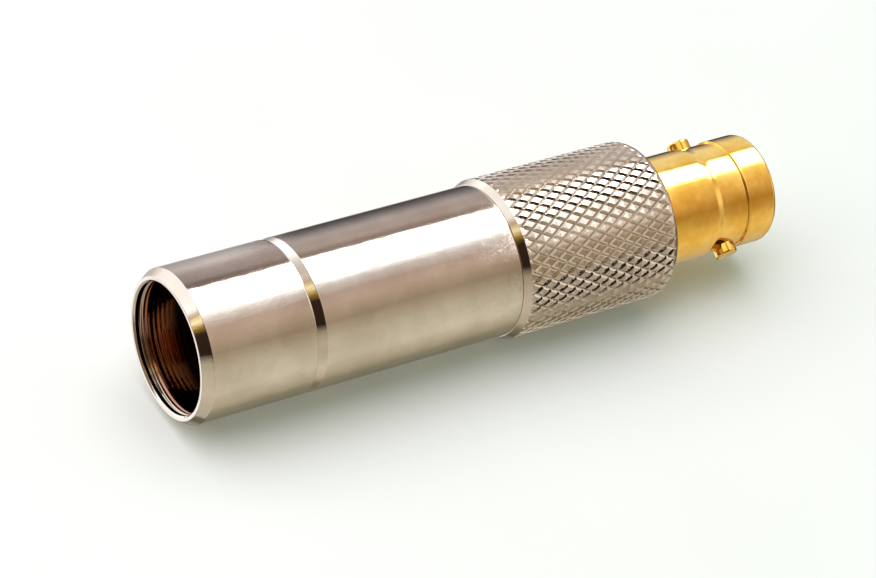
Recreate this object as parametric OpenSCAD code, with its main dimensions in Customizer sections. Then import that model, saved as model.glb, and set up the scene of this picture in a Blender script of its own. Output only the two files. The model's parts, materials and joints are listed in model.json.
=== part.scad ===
// Input adapter for a half-inch measuring microphone's preamplifier.
// A threaded mouth takes the preamplifier in place of the microphone, and a
// coaxial jack with two bayonet lugs takes the signal lead. The adapter stands
// on the jack's front face, with the mouth up and its axis on Z.

/* [Mouth ring] */
// Outer diameter of the mouth ring and the barrel
tube_d = 13.2; // [12.6:0.1:15]
// Length of the mouth ring
ring_l = 10.45; // [9:0.05:14]
// Length of the chamfer round the outside of the mouth
ring_chamfer_l = 0.85; // [0.2:0.05:1.2]
// Depth of that chamfer
ring_chamfer_r = 0.55; // [0.2:0.05:0.6]
// Chamfer round the threaded hole
ring_lead_in = 0.15; // [0.05:0.05:0.2]
// Major diameter of the fine thread in the mouth
thread_d = 11.7; // [10.8:0.1:11.8]
// Pitch of that thread, sixty turns to the inch
thread_pitch = 0.4233; // [0.3:0.0001:0.5]
// Free depth from the mouth to the end of the barrel's spigot
mouth_depth = 5.5; // [4.5:0.1:7]

/* [Barrel] */
// Length of the barrel that shows
barrel_l = 19.8; // [14:0.1:40]
// Length of the chamfer at the mouth ring
barrel_chamfer_l = 0.85; // [0.3:0.05:1.5]
// Depth of that chamfer
barrel_chamfer_r = 0.25; // [0.1:0.05:0.5]
// Wall of the spigot round the terminal's seat
spigot_wall = 0.8; // [0.4:0.05:1]
// Ledge that carries the terminal insulator
terminal_ledge = 0.6; // [0.3:0.05:1]
// Height of the shoulder that the collar meets
tail_step = 0.65; // [0.5:0.05:0.9]
// Length of the tail inside the collar
tail_l = 7; // [4:0.5:8]

/* [Collar] */
// Length of the collar
collar_l = 16; // [14.5:0.1:24]
// How far the knurl stands out from the barrel
collar_step = 0.4; // [0.3:0.05:0.8]
// How far the collar stands out where it meets the barrel
collar_lip = 0.05; // [0:0.01:0.1]
// Length of the smooth chamfer towards the barrel
collar_chamfer_l = 0.65; // [0.3:0.05:1]
// Length of the rounding at the jack end
collar_round_l = 1.2; // [0.6:0.1:1.8]
// Depth of that rounding
collar_round_r = 0.76; // [0.3:0.02:0.9]
// Thickness of the end wall round the jack
collar_end_t = 1.2; // [0.8:0.1:2]
// Number of grooves round the collar in each of the two directions
knurl_count = 44; // [24:2:60]
// Angle between a groove and the axis
knurl_angle = 30.5; // [25:0.5:45]
// Depth of the grooves
knurl_depth = 0.33; // [0.1:0.01:0.4]
// Length over which the grooves run out at the chamfer
knurl_runout = 0.4; // [0.2:0.05:0.8]

/* [Jack shell and flange] */
// Outer diameter of the jack
jack_d = 9.7; // [9.5:0.05:10]
// Length of the jack outside the collar
jack_l = 11.8; // [10:0.05:14]
// Rounding of the front edge
jack_edge_r = 0.35; // [0.1:0.05:0.5]
// Length of the band at the front
band_l = 3; // [2:0.1:3.5]
// Depth of the neck behind the band
neck_depth = 0.17; // [0.16:0.01:0.4]
// Straight length of the neck
neck_l = 2.3; // [0.5:0.1:3]
// Length of the curve from the neck up to the full diameter
neck_blend_l = 0.9; // [0.5:0.1:2]
// Diameter of the bayonet lugs
lug_d = 2; // [1.8:0.05:2.2]
// Height of a lug above the jack
lug_h = 0.68; // [0.5:0.02:0.9]
// Chamfer round a lug's end
lug_chamfer = 0.15; // [0.05:0.05:0.3]
// Distance of the lugs from the jack's front face
lug_z = 4.6; // [4.2:0.05:6]
// Diameter of the front bore
jack_bore_d = 8.13; // [7.8:0.01:8.4]
// Depth of the front bore
jack_bore_l = 8.6; // [7:0.1:9.5]
// Thickness of the lip at the bottom of that bore
jack_lip_t = 1; // [0.5:0.1:1.5]
// Diameter of the bore behind the lip
jack_rear_bore_d = 7.3; // [6.6:0.1:7.6]
// Thickness of the flange inside the collar
flange_t = 1.4; // [1:0.1:2]
// Diameter of the shank behind the flange
shank_d = 8.8; // [8.6:0.1:9.2]
// Length of that shank
shank_l = 4; // [3.5:0.1:6]
// Thickness of the rolled edge that closes the shank
rolled_t = 0.75; // [0.4:0.05:1]
// How far the rolled edge reaches over the rear bush
rolled_w = 0.45; // [0.2:0.05:0.7]

/* [Jack inside] */
// Diameter of the insulator's nose
nose_d = 4.7; // [4.4:0.05:5]
// How far the nose lies behind the front face
nose_recess = 0.4; // [0:0.1:1]
// Length of the insulator's body behind the lip
insulator_l = 3.8; // [2.5:0.1:4.5]
// Diameter of the socket contact
socket_d = 2.2; // [2:0.05:2.5]
// Bore of the socket contact
socket_bore_d = 1.37; // [1.3:0.01:1.5]
// Depth of that bore
socket_bore_l = 5.5; // [4:0.1:7]
// How far the socket lies behind the nose
socket_recess = 0.3; // [0:0.1:1]
// Width of the four slots in the socket
slot_w = 0.3; // [0.2:0.05:0.4]
// Length of the slots
slot_l = 4; // [2:0.1:5]
// Play between the socket and the nose, so that the socket can spread
socket_play = 0.1; // [0.05:0.01:0.2]
// Diameter of the collar that holds the socket contact
stop_d = 3.4; // [2.8:0.1:4]
// Thickness of that collar
stop_t = 0.8; // [0.5:0.1:1.2]
// Length of the solder cup behind the rear bush
cup_reach = 2.1; // [1.5:0.1:3]
// Outer diameter of the solder cups
cup_d = 1.8; // [1.6:0.05:2]
// Bore of the solder cups
cup_bore_d = 1; // [0.8:0.05:1.2]
// Depth of the solder cups
cup_bore_l = 1.8; // [1:0.1:2]

/* [Jack fixing] */
// Thickness of the lock washer
washer_t = 0.5; // [0.3:0.05:0.8]
// Width of the lock washer's rim
washer_rim = 0.6; // [0.4:0.05:0.8]
// Number of the lock washer's teeth
washer_teeth = 12; // [8:1:16]
// Width of a tooth
tooth_w = 1; // [0.6:0.1:1.4]
// Thickness of the jack's nut
nut_t = 2.2; // [1.5:0.1:3]
// Width of the two spanner slots in the nut and the terminal ring
spanner_w = 1.2; // [0.8:0.1:1.6]
// Depth of the nut's spanner slots
spanner_l = 0.8; // [0.4:0.1:1.2]

/* [Series capacitor] */
// Diameter of the capacitor
capacitor_d = 5.2; // [3:0.1:6]
// Length of the capacitor
capacitor_l = 13; // [8:0.5:16]
// Rounding of the capacitor's edges
capacitor_edge_r = 0.8; // [0.3:0.1:1.2]
// Diameter of its leads
lead_d = 0.6; // [0.4:0.05:0.7]
// Height of the solder on a cup
solder_h = 0.6; // [0.3:0.1:1]
// Wall of the sleeve that insulates the barrel
sleeve_wall = 0.5; // [0.3:0.05:0.8]

/* [Terminal] */
// Thickness of the terminal insulator
terminal_t = 2.2; // [1.5:0.1:3]
// Thickness of the ring that holds it
terminal_ring_t = 0.8; // [0.5:0.1:1.2]
// Width of that ring
terminal_ring_w = 1.1; // [0.7:0.1:1.5]
// Diameter of the terminal's head
head_d = 3.2; // [2.4:0.1:4]
// Height of the terminal's head
head_h = 0.7; // [0.4:0.1:0.8]
// Chamfer round the terminal's head
head_chamfer = 0.2; // [0.1:0.05:0.3]
// Length of the terminal's solder cup below the insulator
terminal_tail_l = 2.6; // [2.1:0.1:4]

/* [Fits] */
// Clearance between round faces that fit together
fit = 0.05; // [0.02:0.01:0.1]
// Clearance round the flange and the lock washer
flange_play = 0.3; // [0.1:0.05:0.4]
// Clearance above the insulating sleeve
sleeve_play = 0.3; // [0.1:0.05:0.6]

/* [Hidden] */
$fn = 96;

// A cut reaches this far past the face that it opens
over = 1;

// Heights of the faces where the pieces meet, from the jack's front face up
flange_z = jack_l + collar_end_t;
washer_z = flange_z + flange_t;
nut_z = washer_z + washer_t;
shank_top = washer_z + shank_l;
collar_top = jack_l + collar_l;
ring_z = collar_top + barrel_l;
mouth_z = ring_z + ring_l;
spigot_top = mouth_z - mouth_depth;
terminal_top = spigot_top - terminal_ring_t;
terminal_z = terminal_top - terminal_t;
insulator_z = jack_bore_l + jack_lip_t;
stop_z = insulator_z + insulator_l;
bush_top = shank_top - rolled_t;
jack_cup_top = bush_top + cup_reach;
jack_cup_floor = jack_cup_top - cup_bore_l;
terminal_cup_end = terminal_z - terminal_tail_l;
terminal_cup_floor = terminal_cup_end + cup_bore_l;
capacitor_z = (jack_cup_floor + terminal_cup_floor - capacitor_l) / 2;

// Radii, from the outside in
tube_r = tube_d / 2;
collar_r = tube_r + collar_step;
valley_r = collar_r - knurl_depth;
tail_r = tube_r - tail_step;
collar_bore_r = tail_r + fit;
thread_minor_r = thread_d / 2 - thread_pitch * 5 * sqrt(3) / 16;
ring_socket_r = thread_d / 2;
spigot_r = ring_socket_r - fit;
seat_r = spigot_r - spigot_wall;
barrel_bore_r = seat_r - terminal_ledge;
sleeve_r = barrel_bore_r - fit;
flange_r = collar_bore_r - flange_play;
jack_r = jack_d / 2;
neck_r = jack_r - neck_depth;
shank_r = shank_d / 2;
rear_bore_r = jack_rear_bore_d / 2;
bush_r = rear_bore_r - fit;
nose_r = nose_d / 2;
socket_r = socket_d / 2;
stop_r = stop_d / 2;
cup_r = cup_d / 2;
lead_r = lead_d / 2;

// Heights of the knurl's rows above the collar's jack end, rim to rim
row_h = PI * collar_r / (knurl_count * tan(knurl_angle));
knee_h = collar_round_l * (1 - sin(45));
last_row_h = collar_l - collar_chamfer_l - knurl_runout;
row_steps = floor((last_row_h - knee_h) / row_h - 0.5);
row_heights = concat(
    [0, knee_h],
    [for (k = [row_steps : -1 : 0]) last_row_h - k * row_h],
    [collar_l - collar_chamfer_l, collar_l]);

// Points of an arc about a centre
function arc(centre, r, from, to, steps = 8) =
    [for (i = [0 : steps]) centre + r * [for (a = [from + (to - from) * i / steps]) each [cos(a), sin(a)]]];

// An even rise from 0 to 1 that starts and ends level
function ease(t) = t * t * (3 - 2 * t);

// Radius of the collar's outline, without its knurl, at a height above its jack end
function collar_outline(h) =
    h < collar_round_l
    ? collar_r - collar_round_r * (1 - sqrt(1 - pow(1 - h / collar_round_l, 2)))
    : collar_r - (collar_step - collar_lip) * max(0, 1 - (collar_l - h) / collar_chamfer_l);

// Radius of one knurl point: grooves cross at every other column, points stand between
function knurl_radius(row, column) =
    let (outline = collar_outline(row_heights[row]))
    row == 0 || row >= len(row_heights) - 2
    ? outline
    : min(outline, (row + column) % 2 == 0 ? valley_r : collar_r);

// A tube with straight ends, between two heights
module tube(r_out, r_in, from, to) {
    difference() {
        translate([0, 0, from])
            cylinder(r = r_out, h = to - from);
        translate([0, 0, from - over])
            cylinder(r = r_in, h = to - from + 2 * over);
    }
}

// A round hole between two heights
module hole(r, from, to) {
    translate([0, 0, from])
        cylinder(r = r, h = to - from);
}

// The collar with its diamond knurl and no bore: two facets on each side of every groove
module knurled_blank() {
    columns = 2 * knurl_count;
    rows = len(row_heights);
    points = [
        for (row = [0 : rows - 1], column = [0 : columns - 1])
        let (r = knurl_radius(row, column), a = 180 * column / knurl_count)
        [r * cos(a), r * sin(a), row_heights[row]]];
    facets = [
        for (row = [0 : rows - 2], column = [0 : columns - 1])
        let (
            next = (column + 1) % columns,
            a = row * columns + column,
            b = row * columns + next,
            c = b + columns,
            d = a + columns)
        each ((row + column) % 2 == 0 ? [[a, d, c], [a, c, b]] : [[a, d, b], [b, d, c]])];
    jack_end = [for (column = [0 : columns - 1]) column];
    barrel_end = [for (column = [columns - 1 : -1 : 0]) (rows - 1) * columns + column];
    polyhedron(points, concat(facets, [jack_end, barrel_end]));
}

module mouth_ring() {
    color("#c9c2b8")
        rotate_extrude()
            polygon([
                [ring_socket_r, ring_z],
                [tube_r, ring_z],
                [tube_r, mouth_z - ring_chamfer_l],
                [tube_r - ring_chamfer_r, mouth_z],
                [thread_minor_r + ring_lead_in, mouth_z],
                [thread_minor_r, mouth_z - ring_lead_in],
                [thread_minor_r, spigot_top],
                [ring_socket_r, spigot_top]]);
}

module barrel() {
    color("#c9c2b8")
        rotate_extrude()
            polygon([
                [barrel_bore_r, collar_top - tail_l],
                [tail_r, collar_top - tail_l],
                [tail_r, collar_top],
                [tube_r, collar_top],
                [tube_r, ring_z - barrel_chamfer_l],
                [tube_r - barrel_chamfer_r, ring_z],
                [spigot_r, ring_z],
                [spigot_r, spigot_top],
                [seat_r, spigot_top],
                [seat_r, terminal_z],
                [barrel_bore_r, terminal_z]]);
}

module knurled_collar() {
    color("#bdb5a8")
        difference() {
            translate([0, 0, jack_l])
                knurled_blank();
            hole(collar_bore_r, flange_z, collar_top + over);
            hole(jack_r + fit, jack_l - over, flange_z + over);
        }
}

// One bayonet lug along +X, from inside the jack's wall
module lug() {
    root = (jack_bore_d / 2 + neck_r) / 2;
    tip = jack_r + lug_h;
    rotate([0, 90, 0])
        rotate_extrude()
            polygon([
                [0, root],
                [lug_d / 2, root],
                [lug_d / 2, tip - lug_chamfer],
                [lug_d / 2 - lug_chamfer, tip],
                [0, tip]]);
}

module jack_shell() {
    blend_steps = 10;
    outline = concat(
        [[0, 0]],
        arc([jack_r - jack_edge_r, jack_edge_r], jack_edge_r, -90, 0),
        [[jack_r, band_l], [neck_r, band_l]],
        [for (i = [0 : blend_steps])
            [neck_r + neck_depth * ease(i / blend_steps), band_l + neck_l + neck_blend_l * i / blend_steps]],
        [[jack_r, flange_z], [0, flange_z]]);
    color("#d9a441")
        difference() {
            union() {
                rotate_extrude()
                    polygon(outline);
                for (side = [0, 180])
                    rotate([0, 0, side])
                        translate([0, 0, lug_z])
                            lug();
            }
            hole(jack_bore_d / 2, -over, jack_bore_l);
            hole(nose_r + fit, -over, insulator_z + over);
            hole(rear_bore_r, insulator_z, flange_z + over);
        }
}

// The flange behind the shell, with the shank whose rolled edge closes in the rear bush
module jack_flange() {
    color("#d9a441")
        rotate_extrude()
            polygon([
                [rear_bore_r, flange_z],
                [flange_r, flange_z],
                [flange_r, washer_z],
                [shank_r, washer_z],
                [shank_r, shank_top],
                [rear_bore_r - rolled_w, shank_top],
                [rear_bore_r - rolled_w, bush_top],
                [rear_bore_r, bush_top]]);
}

module jack_insulator() {
    color("#f1efe8")
        difference() {
            union() {
                hole(nose_r, nose_recess, insulator_z + over);
                hole(bush_r, insulator_z, stop_z);
            }
            hole(socket_r + socket_play, -over, stop_z + over);
        }
}

module jack_contact() {
    front = nose_recess + socket_recess;
    color("#d9a441")
        difference() {
            union() {
                hole(socket_r, front, stop_z + stop_t);
                hole(stop_r, stop_z, stop_z + stop_t);
                hole(cup_r, stop_z, jack_cup_top);
            }
            hole(socket_bore_d / 2, front - over, front + socket_bore_l);
            for (side = [0, 90])
                rotate([0, 0, side])
                    translate([-slot_w / 2, -socket_d, front - over])
                        cube([slot_w, 2 * socket_d, slot_l + over]);
            hole(cup_bore_d / 2, jack_cup_floor, jack_cup_top + over);
        }
}

module jack_rear_bush() {
    color("#f1efe8")
        difference() {
            hole(bush_r, stop_z, bush_top);
            hole(stop_r + fit, stop_z - over, stop_z + stop_t);
            hole(cup_r + fit, stop_z, bush_top + over);
        }
}

module lock_washer() {
    inner_r = shank_r + fit;
    color("#a9a39a")
        union() {
            tube(flange_r, flange_r - washer_rim, washer_z, nut_z);
            for (tooth = [0 : washer_teeth - 1])
                rotate([0, 0, 360 * tooth / washer_teeth])
                    translate([inner_r, -tooth_w / 2, washer_z])
                        cube([flange_r - washer_rim / 2 - inner_r, tooth_w, washer_t]);
        }
}

// Two slots across a ring's upper face, for a pin spanner
module spanner_slots(r, top, depth) {
    translate([-r - over, -spanner_w / 2, top - depth])
        cube([2 * (r + over), spanner_w, depth + over]);
}

module jack_nut() {
    top = nut_z + nut_t;
    color("#b99b5a")
        difference() {
            tube(collar_bore_r - fit, shank_r + fit, nut_z, top);
            spanner_slots(collar_bore_r, top, spanner_l);
        }
}

module insulating_sleeve() {
    color("#e9e6dc")
        tube(sleeve_r, sleeve_r - sleeve_wall, shank_top, terminal_z - sleeve_play);
}

module capacitor_body() {
    r = capacitor_d / 2;
    color("#3f7f8c")
        translate([0, 0, capacitor_z])
            rotate_extrude()
                polygon(concat(
                    [[0, 0]],
                    arc([r - capacitor_edge_r, capacitor_edge_r], capacitor_edge_r, -90, 0),
                    arc([r - capacitor_edge_r, capacitor_l - capacitor_edge_r], capacitor_edge_r, 0, 90),
                    [[0, capacitor_l]]));
}

module capacitor_leads() {
    color("#b8b8b4")
        union() {
            hole(lead_r, jack_cup_floor, capacitor_z);
            hole(lead_r, capacitor_z + capacitor_l, terminal_cup_floor);
        }
}

// A ring of solder on a cup's rim, wide at the cup
module solder_ring() {
    rotate_extrude()
        polygon([[lead_r + fit, 0], [cup_r, 0], [lead_r + 2 * fit, solder_h], [lead_r + fit, solder_h]]);
}

module solder_joints() {
    color("#aeb0b2")
        union() {
            translate([0, 0, jack_cup_top])
                solder_ring();
            translate([0, 0, terminal_cup_end])
                mirror([0, 0, 1])
                    solder_ring();
        }
}

module terminal_contact() {
    head_r = head_d / 2;
    head_top = terminal_top + head_h;
    color("#d9a441")
        rotate_extrude()
            polygon([
                [0, terminal_cup_floor],
                [cup_bore_d / 2, terminal_cup_floor],
                [cup_bore_d / 2, terminal_cup_end],
                [cup_r, terminal_cup_end],
                [cup_r, terminal_top],
                [head_r, terminal_top],
                [head_r, head_top - head_chamfer],
                [head_r - head_chamfer, head_top],
                [0, head_top]]);
}

module terminal_insulator() {
    color("#f1efe8")
        tube(seat_r - fit, cup_r + fit, terminal_z, terminal_top);
}

module terminal_ring() {
    r = seat_r - fit;
    color("#c9c2b8")
        difference() {
            tube(r, r - terminal_ring_w, terminal_top, spigot_top);
            spanner_slots(r, spigot_top, terminal_ring_t / 2);
        }
}

mouth_ring();
barrel();
knurled_collar();
jack_shell();
jack_flange();
jack_insulator();
jack_contact();
jack_rear_bush();
lock_washer();
jack_nut();
insulating_sleeve();
capacitor_body();
capacitor_leads();
solder_joints();
terminal_contact();
terminal_insulator();
terminal_ring();
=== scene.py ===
"""Dresses the adapter: turned and plated pieces, a rolled diamond knurl, a fine thread, studio light and camera."""

import json
import logging
import math
from dataclasses import dataclass
from enum import Enum
from typing import Any, Mapping, Protocol, Sequence

import bmesh
import bpy
from mathutils import Matrix, Vector


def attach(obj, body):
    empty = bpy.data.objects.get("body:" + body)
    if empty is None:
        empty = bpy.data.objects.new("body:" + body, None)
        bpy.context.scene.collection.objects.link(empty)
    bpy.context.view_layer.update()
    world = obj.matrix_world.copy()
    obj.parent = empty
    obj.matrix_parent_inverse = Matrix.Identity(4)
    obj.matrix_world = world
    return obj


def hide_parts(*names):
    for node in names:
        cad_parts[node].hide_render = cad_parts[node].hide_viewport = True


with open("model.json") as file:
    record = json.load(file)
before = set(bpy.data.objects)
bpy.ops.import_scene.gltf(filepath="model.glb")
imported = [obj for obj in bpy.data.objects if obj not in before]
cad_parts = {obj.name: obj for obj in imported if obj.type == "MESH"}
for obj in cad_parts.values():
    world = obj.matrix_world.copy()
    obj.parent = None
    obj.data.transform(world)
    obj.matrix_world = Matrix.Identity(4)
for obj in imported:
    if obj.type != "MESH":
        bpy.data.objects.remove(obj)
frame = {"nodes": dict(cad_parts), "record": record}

LOG = logging.getLogger("adapter")
MM = 0.001
# Points closer than this are one point
WELD = 0.0005 * MM
# Millimetres that are too few to matter when a point is looked up by its radius
BESIDE = 0.01
# The tube's middle, in millimetres
MIDDLE_Z = 30
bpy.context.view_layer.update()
# How densely turning rings vary round the axis, for a metre
RING_DRAW = 90.0
SMOOTH = {"interpolation_type": "SMOOTHSTEP"}
Point = tuple[float, float]
Colour = tuple[float, float, float, float]


class Slot(Enum):
    """The record's material slots."""

    NICKEL = "nickel"
    GOLD = "gold"
    INSULATOR = "insulator"
    STEEL = "spring_steel"
    BRASS = "bare_brass"
    COAT = "capacitor_coat"
    TIN = "tinned_wire"


class Finish(Protocol):
    """A finish that can make its material."""

    def make(self) -> bpy.types.Material:
        """Returns the finished material."""
        ...


def linear(code: str, gain: float = 1.0) -> Colour:
    """Turns an sRGB hex colour to linear light.

    Args:
        code: Six hex digits.
        gain: Factor on the linear values.

    Returns:
        Red, green, blue and an alpha of one.
    """
    values = [int(code[i:i + 2], 16) / 255 for i in (0, 2, 4)]
    red, green, blue = (gain * (v / 12.92 if v <= 0.04045 else ((v + 0.055) / 1.055) ** 2.4) for v in values)
    return red, green, blue, 1.0


def add_node(tree: bpy.types.NodeTree, kind: str, settings: Mapping[str, Any] | str | None = None,
             feeds: Mapping[int | str, Any] | None = None) -> bpy.types.Node:
    """Adds a node with its settings and links.

    Args:
        tree: The tree that takes the node.
        kind: The node's type name.
        settings: Properties to set on the node, where "stops" fills a colour ramp, or just its operation.
        feeds: For each input, a node whose first output is linked, a socket to link or a value to set.

    Returns:
        The new node.
    """
    node = tree.nodes.new(kind)
    if isinstance(settings, str):
        settings = {"operation": settings}
    for key, value in (settings or {}).items():
        if key == "stops":
            node.color_ramp.elements.remove(node.color_ramp.elements[-1])
            node.color_ramp.elements[0].position, node.color_ramp.elements[0].color = value[0]
            for position, colour in value[1:]:
                node.color_ramp.elements.new(position).color = colour
        else:
            setattr(node, key, value)
    for key, value in (feeds or {}).items():
        if isinstance(value, bpy.types.Node):
            value = value.outputs[0]
        if isinstance(value, bpy.types.NodeSocket):
            tree.links.new(value, node.inputs[key])
        else:
            node.inputs[key].default_value = value
    return node


@dataclass(frozen=True)
class Corner:
    """One corner of a turned outline in millimetres, with the rounding of its edge."""

    r: float
    z: float
    edge: float = 0.0


def rounded(corners: Sequence[Corner], closed: bool, margin: float = 0.1, steps: int = 5) -> list[Point]:
    """Rounds an outline's corners and adds a point beside each rounding, so that flat faces shade flat.

    Args:
        corners: The outline's corners, in order.
        closed: Whether the last corner joins the first.
        margin: Distance of the added point, in millimetres.
        steps: Facets of one rounding.

    Returns:
        Radius and height of each point.
    """
    points: list[Point] = []
    count = len(corners)
    for i, corner in enumerate(corners):
        here = Vector((corner.r, corner.z))
        if corner.edge <= 0 or (not closed and i in (0, count - 1)):
            points.append((corner.r, corner.z))
            continue
        before, after = corners[i - 1], corners[(i + 1) % count]
        back = Vector((before.r, before.z)) - here
        ahead = Vector((after.r, after.z)) - here
        half = back.angle(ahead) / 2
        reach = min(corner.edge / math.tan(half), 0.45 * back.length, 0.45 * ahead.length)
        start = here + back.normalized() * reach
        end = here + ahead.normalized() * reach
        centre = here + (back.normalized() + ahead.normalized()).normalized() * (reach / math.cos(half))
        first, last = start - centre, end - centre
        open_at = math.atan2(first.y, first.x)
        sweep = (math.atan2(last.y, last.x) - open_at + math.pi) % math.tau - math.pi
        if back.length > 2.5 * (reach + margin):
            points.append(tuple(here + back.normalized() * (reach + margin)))
        for step in range(steps + 1):
            angle = open_at + sweep * step / steps
            points.append(tuple(centre + first.length * Vector((math.cos(angle), math.sin(angle)))))
        if ahead.length > 2.5 * (reach + margin):
            points.append(tuple(here + ahead.normalized() * (reach + margin)))
    return points


def bridge(shape: bmesh.types.BMesh, rings: Sequence[Sequence[bmesh.types.BMVert]]) -> None:
    """Joins each ring of points to the next one with faces."""
    for low, high in zip(rings, rings[1:]):
        for i in range(len(low)):
            j = (i + 1) % len(low)
            shape.faces.new((low[i], low[j], high[j], high[i]))


def spin(shape: bmesh.types.BMesh, outline: Sequence[Point], around: int, closed: bool) -> None:
    """Turns an outline about the axis into faces.

    Args:
        shape: The mesh that takes the faces.
        outline: Radius and height of each point, in millimetres.
        around: Facets round the axis.
        closed: Whether the last point joins the first.
    """
    angles = [math.tau * (i / around - 0.5) for i in range(around)]
    rings = [[shape.verts.new((r * MM * math.cos(a), r * MM * math.sin(a), z * MM)) for a in angles]
             for r, z in outline]
    bridge(shape, rings + rings[:1] if closed else rings)


def piece_from(shape: bmesh.types.BMesh, name: str, crease: float = 40.0) -> bpy.types.Object:
    """Closes the seams, turns the faces outwards and makes the piece.

    Args:
        shape: The finished mesh, which is freed.
        name: The piece's name.
        crease: Angle in degrees past which an edge shades sharp.

    Returns:
        The new object at the origin.
    """
    bmesh.ops.remove_doubles(shape, verts=shape.verts, dist=WELD)
    bmesh.ops.recalc_face_normals(shape, faces=shape.faces)
    mesh = bpy.data.meshes.new(name)
    shape.to_mesh(mesh)
    shape.free()
    mesh.shade_smooth()
    mesh.set_sharp_from_angle(angle=math.radians(crease))
    piece = bpy.data.objects.new(name, mesh)
    bpy.context.scene.collection.objects.link(piece)
    return piece


def place(piece: bpy.types.Object, nodes: Sequence[str], finish: bpy.types.Material) -> None:
    """Dresses a piece and lets it stand for CAD nodes.

    Args:
        piece: The new piece.
        nodes: The CAD nodes that it stands for.
        finish: Its material.
    """
    piece.data.materials.clear()
    piece.data.materials.append(finish)
    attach(piece, "root")
    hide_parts(*nodes)
    LOG.info("%s: %d faces for %s", piece.name, len(piece.data.polygons), ", ".join(nodes))


class SkinTree:
    """A geometry-nodes tree with named inputs whose result becomes a plain mesh."""

    def __init__(self, name: str, sizes: Sequence[str]) -> None:
        """Makes the tree with its inputs and its output.

        Args:
            name: The tree's name.
            sizes: Names of the inputs that are lengths, shares or numbers.
        """
        kinds = {"Columns": "NodeSocketInt", "Rows": "NodeSocketInt", "Material": "NodeSocketMaterial"}
        kinds |= dict.fromkeys(sizes, "NodeSocketFloat")
        self.tree = bpy.data.node_groups.new(name, "GeometryNodeTree")
        self.tree.interface.new_socket("Geometry", in_out="OUTPUT", socket_type="NodeSocketGeometry")
        self.keys = {label: self.tree.interface.new_socket(label, in_out="INPUT", socket_type=kind).identifier
                     for label, kind in kinds.items()}
        self.size = self.tree.nodes.new("NodeGroupInput").outputs

    def unroll(self) -> tuple[bpy.types.Node, bpy.types.NodeSocket, bpy.types.Node]:
        """Starts the tree with a flat grid, one turn wide.

        Returns:
            The grid, the turn across it from its middle, and the height above its foot.
        """
        grid = add_node(self.tree, "GeometryNodeMeshGrid", None,
                        {"Size X": 1.0, "Size Y": self.size["Height"],
                         "Vertices X": self.size["Columns"], "Vertices Y": self.size["Rows"]})
        spot = add_node(self.tree, "ShaderNodeSeparateXYZ", None,
                        {0: add_node(self.tree, "GeometryNodeInputPosition")}).outputs
        half = add_node(self.tree, "ShaderNodeMath", "MULTIPLY", {0: self.size["Height"], 1: 0.5})
        height = add_node(self.tree, "ShaderNodeMath", "ADD", {0: spot["Y"], 1: half})
        return grid, spot["X"], height

    def wrap(self, flat: bpy.types.Node, turn: bpy.types.NodeSocket, height: bpy.types.Node,
             radius: bpy.types.Node) -> None:
        """Bends the grid round the axis and ends the tree in a merged, realised and dressed mesh.

        Args:
            flat: The grid, one turn wide.
            turn: The turn of its points.
            height: Their height above the skin's foot.
            radius: Their distance from the axis.
        """
        tree = self.tree
        angle = add_node(tree, "ShaderNodeMath", "MULTIPLY", {0: turn, 1: math.tau})
        shares = [add_node(tree, "ShaderNodeMath", kind, {0: angle}) for kind in ("COSINE", "SINE")]
        along, across = (add_node(tree, "ShaderNodeMath", "MULTIPLY", {0: radius, 1: share})
                         for share in shares)
        up = add_node(tree, "ShaderNodeMath", "ADD", {0: height, 1: self.size["Foot"]})
        spot = add_node(tree, "ShaderNodeCombineXYZ", None, {0: along, 1: across, 2: up})
        bent = add_node(tree, "GeometryNodeSetPosition", None, {"Geometry": flat, "Position": spot})
        merged = add_node(tree, "GeometryNodeMergeByDistance", None, {"Geometry": bent, "Distance": WELD})
        real = add_node(tree, "GeometryNodeRealizeInstances", None, {"Geometry": merged})
        dressed = add_node(tree, "GeometryNodeSetMaterial", None,
                           {"Geometry": real, "Material": self.size["Material"]})
        add_node(tree, "NodeGroupOutput", None, {0: dressed})

    def mesh(self, values: Mapping[str, Any]) -> bpy.types.Mesh:
        """Runs the tree once.

        Args:
            values: A value for each named input.

        Returns:
            A plain mesh.
        """
        holder = bpy.data.objects.new("skin_holder", bpy.data.meshes.new("skin_holder"))
        modifier = holder.modifiers.new("skin", "NODES")
        modifier.node_group = self.tree
        for label, value in values.items():
            modifier[self.keys[label]] = value
        bpy.context.scene.collection.objects.link(holder)
        graph = bpy.context.evaluated_depsgraph_get()
        mesh = bpy.data.meshes.new_from_object(holder.evaluated_get(graph))
        holder.modifiers.clear()
        bpy.data.objects.remove(holder)
        return mesh


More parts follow.
